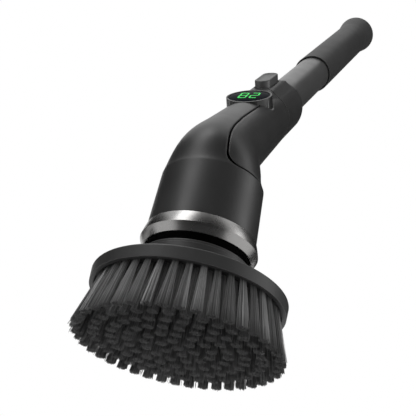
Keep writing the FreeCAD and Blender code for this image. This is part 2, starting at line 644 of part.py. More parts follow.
def tail():
    """The upper housing with the button, the charging port and the pole socket."""
    sizes(tail_r=21.6, tail_low=82.3, tail_bend=126.0, tail_end=140.0, tail_end_r=16.6,
          tail_round=26.0, tail_in=19.2, tube_r=15.3, tube_hole=15.5, tail_step=130.0,
          tail_lip=138.3, button_at=101.9, button_half=6.0, button_long=17.4, button_round=5.7,
          button_gap=0.4, button_seat=0.9, button_top=28.8, seat_deep=22.6, flange_off=17.1,
          flange_in=16.4, flange_more=1.2, cap_wall=1.3, post_small_r=2.0, rail_y=12.0,
          rail_out=17.4, rail_off=9.2, rail_deep=7.0, board_low=93.0, board_high=120.0,
          board_half=13.5, board_top=10.8, switch_half=3.0, switch_top=14.2, plunger_r=1.6,
          plunger_top=15.0, port_at=116.0, port_half=4.6, port_tall=1.7, port_round=1.6,
          port_gap=0.2, port_in=12.0, port_out=20.7, port_slot=4.1, port_slot_tall=1.2, port_slot_round=1.1,
          port_slot_in=14.0, flap_half=6.6, flap_low=112.2, flap_high=120.4, flap_in=20.95,
          flap_out=21.95, bay_floor=20.8, bay_half=7.0, bay_low=110.6,
          hinge_at=111.6, hinge_off=21.45, knuckle_r=0.55, knuckle_half=4.0, pin_small_r=0.3,
          lug_half=5.8, lug_gap=0.1, lug_in=19.9,
          tail_reach=8.0, tail_screw_at=87.5, tail_screw_low=15.8, tail_head_low=19.6,
          tail_head_high=21.2)
    body = turned("tail_body", [
        ("tail_in", "tail_low"), ("tail_r", "tail_low"), ("tail_r", "tail_bend", "left tail_round"),
        ("tail_end_r", "tail_end"), ("tube_hole", "tail_end"), ("tube_hole", "tail_lip"),
        ("tail_in", "tail_step")], True)
    for side in (("rail_y", "rail_out"), ("- rail_out", "- rail_y")):
        pad(body, "YZ", [rectangle(side[0], side[1], "board_low", "board_high")],
            "- rail_off", "rail_off - rail_deep")
    pad(body, "XY", [ridge_outline()], "tail_low", "ridge_end - tail_low")
    cut(body, "XZ", [[
        ("- ridge_end_off", "ridge_end"), ("- ridge_top - fit_gap", "ridge_end - ridge_slope"),
        ("- ridge_top - fit_gap", "ridge_end")]], "- tail_r", "tail_r + tail_r")
    cut(body, "YZ", [rounded("button_half + button_gap", "button_at", "button_long + button_gap",
        "button_round")], "- button_top", "button_top - flange_in")
    cut(body, "YZ", [rounded("button_half + button_seat", "button_at", "button_long + button_seat",
        "button_round")], "- button_top", "button_top - seat_deep")
    cut(body, "YZ", [rounded("bay_half", "port_at", "port_half", "port_round")],
        "bay_floor", "tail_reach")
    cut(body, "YZ", [rectangle("- bay_half", "bay_half", "bay_low", "port_at")],
        "bay_floor", "tail_reach")
    cut(body, "YZ", [rounded("port_half + port_gap", "port_at", "port_tall + port_gap",
        "port_round")], "port_in", "tail_reach + tail_reach")
    for side in (("knuckle_half + lug_gap", "lug_half"), ("- lug_half", "- knuckle_half - lug_gap")):
        pad(body, "YZ", [rectangle(side[0], side[1], "hinge_at - knuckle_r", "hinge_at + knuckle_r")],
            "lug_in", "hinge_off - lug_in")
        pad(body, "XZ", [("circle", "hinge_off", "hinge_at", "knuckle_r")],
            side[0], "lug_half - knuckle_half - lug_gap")
    cut(body, "XZ", [("circle", "hinge_off", "hinge_at", "pin_small_r")],
        "- lug_half", "lug_half + lug_half")
    cut(body, "YZ", [("circle", "0", "tail_screw_at", "screw_r")], "tail_screw_low", "tail_reach")
    cut(body, "YZ", [("circle", "0", "tail_screw_at", "head_r + head_room")],
        "tail_head_low", "tail_reach")
    keep(body, "switch_housing")
    screw = padded("tail_screw_body", "YZ", [("circle", "0", "tail_screw_at", "screw_r")],
                   "tail_screw_low", "tail_head_low - tail_screw_low", True)
    pad(screw, "YZ", [("circle", "0", "tail_screw_at", "head_r")],
        "tail_head_low", "tail_head_high - tail_head_low")
    keep(screw, "tail_screw")
    board = padded("board", "YZ", [rectangle("- board_half", "board_half", "board_low",
                   "board_high")], "- board_top", "board_top - rail_off", True)
    keep(board, "main_board")
    switch = padded("switch", "YZ", [rectangle("- switch_half", "switch_half",
                    "button_at - switch_half", "button_at + switch_half")],
                    "- switch_top", "switch_top - board_top", True)
    pad(switch, "YZ", [("circle", "0", "button_at", "plunger_r")],
        "- plunger_top", "plunger_top - switch_top")
    keep(switch, "tact_switch")
    cap = padded("cap", "YZ", [rounded("button_half", "button_at", "button_long", "button_round")],
                 "- button_top", "button_top - flange_in", True)
    pad(cap, "YZ", [rounded("button_half + flange_more", "button_at",
        "button_long + flange_more", "button_round")], "- flange_off", "flange_off - flange_in")
    cut(cap, "YZ", [rounded("button_half - cap_wall", "button_at", "button_long - cap_wall",
        "button_round - cap_wall"), ("circle", "0", "button_at", "post_small_r")],
        "- button_top + cap_wall", "button_top - cap_wall - flange_in")
    keep(cap, "button_cap")
    socket = padded("port", "YZ", [rounded("port_half", "port_at", "port_tall", "port_round")],
                    "port_in", "port_out - port_in", True)
    cut(socket, "YZ", [rounded("port_slot", "port_at", "port_slot_tall", "port_slot_round")],
        "port_slot_in", "port_out - port_slot_in")
    keep(socket, "charge_socket")
    flap = padded("flap", "YZ", [rectangle("- flap_half", "flap_half", "flap_low", "flap_high")],
                  "flap_in", "flap_out - flap_in", True)
    pad(flap, "YZ", [rectangle("- knuckle_half", "knuckle_half", "hinge_at", "flap_low")],
        "hinge_off - pin_small_r", "flap_out - hinge_off")
    pad(flap, "XZ", [("circle", "hinge_off", "hinge_at", "knuckle_r")],
        "- knuckle_half", "knuckle_half + knuckle_half")
    cut(flap, "XZ", [("circle", "hinge_off", "hinge_at", "pin_small_r + fit_gap")],
        "- knuckle_half", "knuckle_half + knuckle_half")
    keep(flap, "port_cover")
    pin = padded("hinge_pin", "XZ", [("circle", "hinge_off", "hinge_at", "pin_small_r")],
                 "- lug_half", "lug_half + lug_half", True)
    keep(pin, "port_hinge_pin")


def pole():
    """The fixed inner tube, its twist lock, and the sliding outer grip."""
    sizes(socket_low=124.2, tube_low=122.0, tube_top=372.0, tube_wall=1.2, core_end=350.0,
          core_stop=374.0, core_shank_r=8.0, core_top=390.0, core_cap_r=12.0, core_cap_top=392.0,
          collar_gap=0.4, collar_in=8.3, collar_r=15.5, grip_in=15.6, grip_liner_r=16.1,
          grip_r=17.0, grip_low=267.6, liner_low=270.5, liner_top=508.0, mouth_round=0.4,
          flare_low=482.0, bulb_r=19.7, bulb_at=514.6, bulb_round=5.0, bulb_end_r=15.2,
          bulb_end=519.4)
    socket = padded("pole_seat", "XY", [("circle", "0", "0", "tail_in"),
                    ("circle", "0", "0", "tube_r")], "socket_low", "tail_step - socket_low", True)
    keep(socket, "pole_socket")
    tube = padded("tube", "XY", [("circle", "0", "0", "tube_r"),
                  ("circle", "0", "0", "tube_r - tube_wall")],
                  "tube_low", "tube_top - tube_low", True)
    keep(tube, "inner_tube")
    core = turned("lock", [
        ("0", "core_end"), ("tube_r - tube_wall", "core_end"), ("tube_r - tube_wall", "tube_top"),
        ("tube_r", "tube_top"), ("tube_r", "core_stop"), ("core_shank_r", "core_stop"),
        ("core_shank_r", "core_top"), ("core_cap_r", "core_top"), ("core_cap_r", "core_cap_top"),
        ("0", "core_cap_top")], True)
    keep(core, "lock_core")
    collar = padded("lock_ring", "XY", [("circle", "0", "0", "collar_r"),
                    ("circle", "0", "0", "collar_in")], "core_stop + collar_gap",
                    "core_top - core_stop - collar_gap - collar_gap", True)
    keep(collar, "lock_collar")
    liner = padded("liner", "XY", [("circle", "0", "0", "grip_liner_r"),
                   ("circle", "0", "0", "grip_in")], "liner_low", "liner_top - liner_low", True)
    keep(liner, "grip_tube")
    sleeve = turned("grip", [
        ("grip_liner_r", "grip_low"), ("grip_r - mouth_round", "grip_low", "left mouth_round"),
        ("grip_r", "grip_low + mouth_round"), ("grip_r", "flare_low"),
        ("bulb_r", "bulb_at", "left bulb_round"), ("bulb_end_r", "bulb_end"), ("0", "bulb_end"),
        ("0", "liner_top"), ("grip_liner_r", "liner_top")], True)
    keep(sleeve, "grip_sleeve")


def check_and_write():
    """Stop on anything that failed, then write one file for each piece."""
    doc.recompute()
    for item in doc.Objects:
        if "Invalid" in item.State or "Error" in item.State:
            raise RuntimeError("failed: %s %s" % (item.Name, item.State))
    os.makedirs("parts", exist_ok=True)
    for item in nodes:
        shape = item.Shape
        if shape.isNull() or not shape.isValid() or not shape.Solids:
            raise RuntimeError("no good solid in " + item.Label)
        shape.exportStep("parts/%s.step" % item.Label)
        print("%-20s %3d solids %10.1f mm3" % (item.Label, len(shape.Solids), shape.Volume))


brush_head()
bristles()
gearbox()
gear_case()
motor()
shells()
display()
battery()
tail()
pole()
check_and_write()
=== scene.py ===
"""Looks of the battery spin scrubber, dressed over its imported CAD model.

Every piece is in metres, in the frame of the CAD model: the brush stands on its
bristle tips at z = 0 and turns about the Z axis; the handle leans towards +X.
"""

import math
import random

import bpy
from mathutils import Matrix, Vector


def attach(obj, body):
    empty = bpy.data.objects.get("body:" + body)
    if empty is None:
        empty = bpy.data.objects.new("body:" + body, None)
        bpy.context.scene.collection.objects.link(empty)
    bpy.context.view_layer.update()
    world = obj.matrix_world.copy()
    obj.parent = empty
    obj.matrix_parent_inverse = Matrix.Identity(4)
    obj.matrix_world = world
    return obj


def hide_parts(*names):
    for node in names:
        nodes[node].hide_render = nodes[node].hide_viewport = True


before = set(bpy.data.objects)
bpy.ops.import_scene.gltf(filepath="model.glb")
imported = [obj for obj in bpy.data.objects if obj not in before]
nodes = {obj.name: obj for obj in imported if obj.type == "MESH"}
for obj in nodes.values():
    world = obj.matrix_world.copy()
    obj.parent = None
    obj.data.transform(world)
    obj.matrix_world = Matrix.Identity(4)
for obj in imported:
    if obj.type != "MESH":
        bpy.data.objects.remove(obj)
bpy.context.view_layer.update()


# Brush disc and hub cover: two glass-filled nylon mouldings, welded together at
# the drum. A steel hexagon socket and a round magnet sit inside the drum. The
# plastic has the fine spark-eroded grain of its mould, and its edges are painted
# lighter, partly as rubbed wear and partly as a painted highlight.
def new_group(name, inputs, outputs):
    """A shader node group with its sockets, and its first and last node."""
    group = bpy.data.node_groups.new(name, "ShaderNodeTree")
    for title, kind, value in inputs:
        socket = group.interface.new_socket(title, in_out="INPUT", socket_type=kind)
        socket.default_value = value
    for title, kind in outputs:
        group.interface.new_socket(title, in_out="OUTPUT", socket_type=kind)
    return group, group.nodes.new("NodeGroupInput"), group.nodes.new("NodeGroupOutput")


def node(tree, kind, links=(), **settings):
    """Add a node, set its options, and feed its inputs by number or name."""
    made = tree.nodes.new("ShaderNode" + kind)
    for name, value in settings.items():
        setattr(made, name, value)
    for socket, source in dict(links).items():
        if isinstance(source, bpy.types.NodeSocket):
            tree.links.new(source, made.inputs[socket])
        else:
            made.inputs[socket].default_value = source
    return made


def rgb(level, warm=0.0):
    """A grey of that linear level, a little warm or cool."""
    return (level * (1 + warm), level, level * (1 - warm), 1.0)


COLOUR, NUMBER = "NodeSocketColor", "NodeSocketFloat"

# moulded grain: mottled shade, fine pits, and edges painted lighter, partly as rubbed wear and
# partly as a painted highlight
mould, mould_in, mould_out = new_group(
    "moulded_grain",
    [("Colour", COLOUR, rgb(0.03)), ("Worn Colour", COLOUR, rgb(0.08)), ("Grain", NUMBER, 2200.0),
     ("Mottle", NUMBER, 0.1), ("Roughness", NUMBER, 0.5), ("Edge", NUMBER, 0.0004)],
    [("Colour", COLOUR), ("Roughness", NUMBER), ("Height", NUMBER), ("Normal", "NodeSocketVector")])
place = node(mould, "TexCoord").outputs["Object"]
pits = node(mould, "TexNoise", {"Vector": place, "Scale": mould_in.outputs["Grain"], "Detail": 2.0})
cloud = node(mould, "TexNoise", {"Vector": place, "Scale": 38.0, "Detail": 4.0})
lift = node(mould, "MapRange", {"Value": cloud.outputs["Fac"], "From Min": 0.3, "From Max": 0.7,
                                "To Min": -1.0, "To Max": 1.0})
swing = node(mould, "Math", {0: lift.outputs[0], 1: mould_in.outputs["Mottle"], 2: 1.0},
             operation="MULTIPLY_ADD")
shade = node(mould, "VectorMath", {0: mould_in.outputs["Colour"], "Scale": swing.outputs[0]},
             operation="SCALE")
bent = node(mould, "Bevel", {"Radius": mould_in.outputs["Edge"]}, samples=4)
flat = node(mould, "NewGeometry").outputs["Normal"]
turn = node(mould, "VectorMath", {0: bent.outputs[0], 1: flat}, operation="DOT_PRODUCT")
# edge mask: where the bevelled normal turns from the true one, the edge colour is painted on,
# partly as rubbed wear and partly as a painted highlight
wear_and_highlight = node(mould, "MapRange", {"Value": turn.outputs["Value"], "From Min": 0.97, "From Max": 0.75,
                               "To Min": 0.0, "To Max": 1.0})
patch = node(mould, "TexNoise", {"Vector": place, "Scale": 210.0, "Detail": 3.0})
worn = node(mould, "Math", {0: wear_and_highlight.outputs[0], 1: patch.outputs["Fac"]}, operation="MULTIPLY")
mixed = node(mould, "Mix", {"Factor": worn.outputs[0], "A": shade.outputs[0],
                            "B": mould_in.outputs["Worn Colour"]}, data_type="RGBA")
soft = node(mould, "Math", {0: lift.outputs[0], 1: 0.04, 2: mould_in.outputs["Roughness"]},
            operation="MULTIPLY_ADD")
mould.links.new(mixed.outputs["Result"], mould_out.inputs["Colour"])
mould.links.new(soft.outputs[0], mould_out.inputs["Roughness"])
mould.links.new(pits.outputs["Fac"], mould_out.inputs["Height"])
mould.links.new(bent.outputs[0], mould_out.inputs["Normal"])


def finish_of(name, group, values, bump=0.1, depth=0.00005, **constants):
    """A material: one shader fed by one of the surface groups."""
    material = bpy.data.materials.new(name)
    material.use_nodes = True
    tree = material.node_tree
    shader = tree.nodes["Principled BSDF"]
    for title, value in constants.items():
        shader.inputs[title.replace("_", " ")].default_value = value
    surface = node(tree, "Group", node_tree=group)
    for title, value in values.items():
        surface.inputs[title].default_value = value
    tree.links.new(surface.outputs["Colour"], shader.inputs["Base Color"])
    tree.links.new(surface.outputs["Roughness"], shader.inputs["Roughness"])
    relief = node(tree, "Bump", {"Height": surface.outputs["Height"], "Strength": bump,
                                 "Distance": depth})
    if "Normal" in surface.outputs:
        tree.links.new(surface.outputs["Normal"], relief.inputs["Normal"])
    tree.links.new(relief.outputs[0], shader.inputs["Normal"])
    return material


def dress(material, *names):
    """Give CAD nodes their finish."""
    for name in names:
        mesh = nodes[name].data
        for index in range(len(mesh.materials)):
            mesh.materials[index] = material


# the edge colour is partly rubbed wear and partly a painted highlight along the disc's edges
brush_plastic = finish_of("brush_plastic", mould, {
    "Colour": rgb(0.026), "Worn Colour": rgb(0.12), "Grain": 1700.0, "Mottle": 0.12,
    "Roughness": 0.48, "Edge": 0.0008}, bump=0.12)
dress(brush_plastic, "brush_disc", "hub_cover")

# turned metal: rings of fine tool marks round the spin axis, with a faint tarnish
turned, turned_in, turned_out = new_group(
    "turned_marks",
    [("Colour", COLOUR, rgb(0.4)), ("Tarnish", COLOUR, rgb(0.3, 0.08)), ("Marks", NUMBER, 2500.0),
     ("Roughness", NUMBER, 0.3)],
    [("Colour", COLOUR), ("Roughness", NUMBER), ("Height", NUMBER)])
place = node(turned, "TexCoord").outputs["Object"]
parts = node(turned, "SeparateXYZ", {0: place})
level = node(turned, "CombineXYZ", {"X": parts.outputs["X"], "Y": parts.outputs["Y"]})
reach = node(turned, "VectorMath", {0: level.outputs[0]}, operation="LENGTH")
line = node(turned, "CombineXYZ", {"X": reach.outputs["Value"], "Z": parts.outputs["Z"]})
marks = node(turned, "TexNoise", {"Vector": line.outputs[0], "Scale": turned_in.outputs["Marks"],
                                  "Detail": 2.0})
film = node(turned, "TexNoise", {"Vector": place, "Scale": 90.0, "Detail": 5.0})
dull = node(turned, "MapRange", {"Value": film.outputs["Fac"], "From Min": 0.42, "From Max": 0.7})
mixed = node(turned, "Mix", {"Factor": dull.outputs[0], "A": turned_in.outputs["Colour"],
                             "B": turned_in.outputs["Tarnish"]}, data_type="RGBA")
rough = node(turned, "Math", {0: dull.outputs[0], 1: 0.025, 2: turned_in.outputs["Roughness"]},
             operation="MULTIPLY_ADD")
turned.links.new(mixed.outputs["Result"], turned_out.inputs["Colour"])
turned.links.new(rough.outputs[0], turned_out.inputs["Roughness"])
turned.links.new(marks.outputs["Fac"], turned_out.inputs["Height"])

bright_steel = finish_of("bright_steel", turned, {
    "Colour": rgb(0.48), "Tarnish": rgb(0.33, 0.05), "Marks": 3200.0, "Roughness": 0.24},
    Metallic=1.0)
nickel_plate = finish_of("nickel_plate", turned, {
    "Colour": rgb(0.52, 0.02), "Tarnish": rgb(0.4, 0.06), "Marks": 900.0, "Roughness": 0.18},
    Metallic=1.0)
dress(bright_steel, "drive_socket")
dress(nickel_plate, "hub_magnet")


# Bristles: bundles of crimp-free dark nylon filament, each folded over a wire
# anchor and punched into the disc, then trimmed flat. They splay towards the
# rim, and a few stray filaments stand out of each bundle.
tuft_top, root_r, tip_r = 0.0352, 0.0015, 0.0034
worn_lean, worn_towards = 0.0012, math.radians(25)
filament_r, filament_count = 0.00015, 190
golden_turn, stray_share, wander, trim_error = 2.39996, 0.02, 0.0001, 0.00045
bpy.ops.object.select_all(action="DESELECT")
bpy.ops.mesh.primitive_cone_add(vertices=3, radius1=filament_r, radius2=filament_r * 0.8,
                                depth=1.0, location=(0, 0, 0.5))
filament = bpy.context.object
bpy.ops.object.transform_apply()
bpy.ops.object.mode_set(mode="EDIT")
bpy.ops.mesh.select_all(action="SELECT")
bpy.ops.mesh.bisect(plane_co=(0, 0, 0.5), plane_no=(0, 0, 1))
bpy.ops.object.mode_set(mode="OBJECT")


def copy_of(piece, place=Matrix.Identity(4)):
    """A copy with its own mesh, already moved to its place."""
    twin = piece.copy()
    twin.data = piece.data.copy()
    twin.data.transform(place)
    bpy.context.scene.collection.objects.link(twin)
    return twin


def joined(pieces, name):
    """Join pieces into one object of that name."""
    bpy.ops.object.select_all(action="DESELECT")
    for piece in pieces:
        piece.select_set(True)
    bpy.context.view_layer.objects.active = pieces[0]
    bpy.ops.object.join()
    whole = bpy.context.view_layer.objects.active
    whole.name = whole.data.name = name
    return whole


def bundle(seed):
    """One upright bundle: its filaments fan out from the root to the tip."""
    chance = random.Random(seed)
    strands = []
    for count in range(filament_count):
        spread = math.sqrt((count + 0.5) / filament_count)
        angle = count * golden_turn + chance.uniform(-0.3, 0.3)
        round_ = Vector((math.cos(angle), math.sin(angle), 0))
        stray = chance.random() < stray_share
        root = round_ * spread * root_r
        tip = round_ * spread * tip_r * chance.uniform(0.96, 1.02)
        if stray:
            tip = round_ * tip_r * chance.uniform(1.05, 1.35)
        tip += Vector((chance.gauss(0, wander), chance.gauss(0, wander), 0))
        tip.z = abs(chance.gauss(0, trim_error))
        root.z = tuft_top
        bow = round_ * chance.uniform(-0.0001, 0.0002)
        strand = copy_of(filament)
        for corner in strand.data.vertices:
            along = corner.co.z
            middle = root.lerp(tip, 1 - along) + bow * 4 * along * (1 - along)
            corner.co = middle + Vector((corner.co.x, corner.co.y, 0))
        strands.append(strand)
    return joined(strands, "bundle_%d" % seed)


bundles = [bundle(seed) for seed in range(1, 7)]
bpy.data.objects.remove(filament)

# nylon strands: each one a little lighter or darker at random, and painted darker towards the cut
# tips as painted shade
strand_look, strand_in, strand_out = new_group(
    "strand_shade",
    [("Root Colour", COLOUR, rgb(0.1)), ("Tip Colour", COLOUR, rgb(0.04)), ("Chance", NUMBER, 0.5)],
    [("Colour", COLOUR), ("Roughness", NUMBER), ("Height", NUMBER)])
place = node(strand_look, "TexCoord").outputs["Object"]
height = node(strand_look, "SeparateXYZ", {0: place}).outputs["Z"]
tip_shade_mask = node(strand_look, "MapRange", {"Value": height, "From Min": 0.0, "From Max": 0.009})
tone = node(strand_look, "Mix", {"Factor": tip_shade_mask.outputs[0],
                                 "A": strand_in.outputs["Tip Colour"],
                                 "B": strand_in.outputs["Root Colour"]}, data_type="RGBA")
vary = node(strand_look, "MapRange", {"Value": strand_in.outputs["Chance"], "To Min": 0.35,
                                      "To Max": 1.65})
tone = node(strand_look, "VectorMath", {0: tone.outputs["Result"], "Scale": vary.outputs[0]},
            operation="SCALE")
dust = node(strand_look, "TexNoise", {"Vector": place, "Scale": 900.0, "Detail": 2.0})
rough = node(strand_look, "MapRange", {"Value": dust.outputs["Fac"], "To Min": 0.35, "To Max": 0.6})
strand_look.links.new(tone.outputs[0], strand_out.inputs["Colour"])
strand_look.links.new(rough.outputs[0], strand_out.inputs["Roughness"])
strand_look.links.new(dust.outputs["Fac"], strand_out.inputs["Height"])
# the tip colour, darker than the root colour, is painted shade on the downward tip ends
brush_nylon = finish_of("brush_nylon", strand_look, {
    "Root Colour": rgb(0.18), "Tip Colour": rgb(0.085)}, bump=0.05)
tree = brush_nylon.node_tree
tree.links.new(node(tree, "NewGeometry").outputs["Random Per Island"],
               [n for n in tree.nodes if n.type == "GROUP"][0].inputs["Chance"])

ring_sizes = [6, 13, 20, 27, 34, 42]
outer_ring = len(ring_sizes)
root_step, tip_step, rim_splay, inner_trim = 0.00885, 0.01015, 0.0006, 0.0003
order = random.Random(11)
for number, count in enumerate([1] + ring_sizes):
    lean_out = (tip_step - root_step) * number + (rim_splay if number == outer_ring else 0.0)
    tufts = []
    for index in range(count):
        twist = Matrix.Rotation(order.uniform(0, math.tau), 4, "Z")
        splay = Matrix.Identity(4)
        splay[0][2] = -lean_out / tuft_top
        splay[0][3] = root_step * number + lean_out
        azimuth = math.tau * index / count
        around = Matrix.Rotation(azimuth, 4, "Z")
        sweep = worn_lean * (1 + math.cos(azimuth - worn_towards)) * number / outer_ring
        worn = Matrix.Identity(4)
        for axis, part in enumerate((math.cos(worn_towards), math.sin(worn_towards))):
            worn[axis][2] = -part * sweep / tuft_top
            worn[axis][3] = part * sweep
        lift = Matrix.Translation((0, 0, inner_trim if 0 < number < outer_ring else 0))
        tufts.append(copy_of(order.choice(bundles), lift @ worn @ around @ splay @ twist))
    name = "bristle_ring_%d" % number if number else "bristle_centre"
    ring = joined(tufts, name.replace("bristle", "nylon"))
    ring.data.materials.append(brush_nylon)
    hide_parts(name)
    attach(ring, "brush")
for spare in bundles:
    bpy.data.objects.remove(spare)


# Gearbox: a hardened steel spindle and carrier, a hobbed steel sun and ring gear,
# three greased acetal planets, and a die-cast zinc case with its cover and screws.
dress(bright_steel, "output_spindle", "planet_carrier", "sun_gear", "ring_gear", "gearbox_screws",
      "spindle_bearing")
gear_acetal = finish_of("gear_acetal", mould, {
    "Colour": rgb(0.62, 0.05), "Worn Colour": rgb(0.75), "Grain": 700.0, "Mottle": 0.08,
    "Roughness": 0.32, "Edge": 0.0002}, Subsurface_Weight=0.1)
cast_zinc = finish_of("cast_zinc", mould, {
    "Colour": rgb(0.32, 0.01), "Worn Colour": rgb(0.5), "Grain": 900.0, "Mottle": 0.16,
    "Roughness": 0.42, "Edge": 0.0004}, bump=0.3, Metallic=1.0)
seal_rubber = finish_of("seal_rubber", mould, {
    "Colour": rgb(0.018), "Worn Colour": rgb(0.03), "Grain": 1400.0, "Mottle": 0.2,
    "Roughness": 0.7, "Edge": 0.0003}, bump=0.2)
dress(gear_acetal, "planet_gear_1", "planet_gear_2", "planet_gear_3")
dress(cast_zinc, "gearbox_case", "gearbox_cover")
dress(seal_rubber, "shaft_seal")


# Motor: a deep-drawn steel can with a ferrite ring, an armature of stacked sheets,
# a copper commutator, carbon brushes, and a moulded end cap with its terminals.
stack, stack_in, stack_out = new_group(
    "stacked_sheets",
    [("Colour", COLOUR, rgb(0.3)), ("Gap Colour", COLOUR, rgb(0.05)), ("Pitch", NUMBER, 300.0),
     ("Roughness", NUMBER, 0.4)],
    [("Colour", COLOUR), ("Roughness", NUMBER), ("Height", NUMBER)])
place = node(stack, "TexCoord").outputs["Object"]
bands = node(stack, "TexWave", {"Vector": place, "Scale": stack_in.outputs["Pitch"],
                                "Distortion": 0.1}, bands_direction="Z")
stain = node(stack, "TexNoise", {"Vector": place, "Scale": 160.0, "Detail": 4.0})
sheet_tone = node(stack, "Mix", {"Factor": bands.outputs["Fac"],
                                 "A": stack_in.outputs["Gap Colour"],
                                 "B": stack_in.outputs["Colour"]}, data_type="RGBA")
rough = node(stack, "Math", {0: stain.outputs["Fac"], 1: 0.2, 2: stack_in.outputs["Roughness"]},
             operation="MULTIPLY_ADD")
stack.links.new(sheet_tone.outputs["Result"], stack_out.inputs["Colour"])
stack.links.new(rough.outputs[0], stack_out.inputs["Roughness"])
stack.links.new(bands.outputs["Fac"], stack_out.inputs["Height"])

motor_steel = finish_of("motor_steel", turned, {
    "Colour": rgb(0.42, -0.01), "Tarnish": rgb(0.34, 0.04), "Marks": 1200.0, "Roughness": 0.3},
    Metallic=1.0)
core_sheets = finish_of("core_sheets", stack, {
    "Colour": rgb(0.3), "Gap Colour": rgb(0.04), "Pitch": 320.0, "Roughness": 0.35},
    bump=0.4, Metallic=1.0)
copper = finish_of("copper", turned, {
    "Colour": (0.72, 0.33, 0.19, 1.0), "Tarnish": (0.42, 0.17, 0.09, 1.0), "Marks": 2600.0,
    "Roughness": 0.26}, Metallic=1.0)
carbon = finish_of("carbon", mould, {
    "Colour": rgb(0.035), "Worn Colour": rgb(0.12), "Grain": 3000.0, "Mottle": 0.3,
    "Roughness": 0.55, "Edge": 0.0002}, bump=0.25)
ferrite = finish_of("ferrite", mould, {
    "Colour": rgb(0.06, 0.02), "Worn Colour": rgb(0.12), "Grain": 1100.0, "Mottle": 0.2,
    "Roughness": 0.6, "Edge": 0.0003}, bump=0.2)
inner_plastic = finish_of("inner_plastic", mould, {
    "Colour": rgb(0.03), "Worn Colour": rgb(0.08), "Grain": 1500.0, "Mottle": 0.1,
    "Roughness": 0.5, "Edge": 0.0004})
dress(motor_steel, "motor_can")
dress(bright_steel, "motor_shaft", "motor_screws")
dress(core_sheets, "armature")
dress(copper, "motor_terminals", "commutator")
dress(carbon, "carbon_brushes")
dress(ferrite, "magnet_ring")
dress(inner_plastic, "motor_end_cap")


# Underside plate and trim ring: the plate is a moulded skirt that closes the head
# round the drum. The ring is a spun aluminium collar in satin gunmetal: two cones
# that meet in a crisp edge, clamped against the barrel.
# the plate is painted near black with almost no sheen, as painted shade in the gap under the ring
skirt_painted_shade = finish_of("skirt_painted_shade", mould, {
    "Colour": rgb(0.003), "Worn Colour": rgb(0.012), "Grain": 1500.0, "Mottle": 0.1,
    "Roughness": 0.8, "Edge": 0.0004}, Specular_IOR_Level=0.05)
dress(skirt_painted_shade, "seal_plate")
gunmetal = finish_of("gunmetal", turned, {
    "Colour": rgb(0.33, 0.012), "Tarnish": rgb(0.31, 0.02), "Marks": 1500.0, "Roughness": 0.27},
    bump=0.06, Metallic=1.0)
dress(gunmetal, "trim_ring")


# Housing shells: the front cover with the barrel, the rear shell of the neck and
# the upper housing are moulded in charcoal ABS with a fine satin grain. They meet
# in a thin shadow gap and are held by one self-tapping screw.
# the edge colour is partly rubbed wear and partly a painted highlight on the lip beside the seam
# gap
charcoal_plastic = finish_of("charcoal_plastic", mould, {
    "Colour": rgb(0.02), "Worn Colour": rgb(0.09), "Grain": 2100.0, "Mottle": 0.05,
    "Roughness": 0.42, "Edge": 0.0015}, bump=0.07)
dress(charcoal_plastic, "front_cover", "rear_shell", "switch_housing")
dress(bright_steel, "shell_screw", "tail_screw")


# Battery: two round lithium cells in shrink sleeves, in a moulded holder.
cell_sleeve = finish_of("cell_sleeve", stack, {
    "Colour": (0.03, 0.12, 0.2, 1.0), "Gap Colour": (0.028, 0.1, 0.17, 1.0), "Pitch": 60.0,
    "Roughness": 0.25}, bump=0.03, Coat_Weight=0.4)
dress(cell_sleeve, "battery_cell_left", "battery_cell_right")
dress(inner_plastic, "cell_holder")


# Display: a moulded cup, leaned a little towards the brush, with a black window,
# slightly domed and with a ground edge. Two lit green digits stand on it, each a
# set of bars with rounded ends. The segment module is behind the window.
def pick(piece, inside):
    """Open a piece in edit mode with only the corners inside that test selected."""
    bpy.ops.object.mode_set(mode="EDIT")
    bpy.ops.mesh.select_mode(type="VERT")
    bpy.ops.mesh.select_all(action="DESELECT")
    bpy.ops.object.mode_set(mode="OBJECT")
    for corner in piece.data.vertices:
        corner.select = inside(corner.co)
    bpy.ops.object.mode_set(mode="EDIT")


def drum(name, radius, low, top, corners):
    """A closed drum between two heights, ready to be shaped."""
    bpy.ops.object.select_all(action="DESELECT")
    bpy.ops.mesh.primitive_cylinder_add(vertices=corners, radius=radius, depth=top - low,
                                        rotation=(0, 0, math.pi / corners))
    piece = bpy.context.object
    piece.name = piece.data.name = name
    piece.location.z = (low + top) / 2
    bpy.ops.object.transform_apply()
    return piece


def finished(piece, place, angle=32):
    """Close an edited piece, shade it and move its mesh to its place."""
    bpy.ops.mesh.select_all(action="SELECT")
    bpy.ops.mesh.normals_make_consistent(inside=False)
    bpy.ops.object.mode_set(mode="OBJECT")
    bpy.ops.object.shade_smooth_by_angle(angle=math.radians(angle))
    piece.data.transform(place)


handle = (Matrix.Translation((0.0191, 0, 0.1565))
          @ Matrix.Rotation(math.radians(41.1), 4, "Y"))
outward = Matrix.Rotation(math.radians(-90), 4, "Y")
display_at, lens_r, lens_low, lens_top, dome = 0.051, 0.0151, 0.0231, 0.0242, 0.00016
hair = 0.00001
display_place = handle @ Matrix.Translation((0, 0, display_at)) @ outward
cup_low, cup_top, cup_lean = 0.0175, 0.0245, 0.055
ground_edge, dome_steps = 0.0004, (0.0008, 0.0016, 0.0028, 0.0040)
leaning = Matrix.Identity(4)
leaning[2][0] = cup_lean
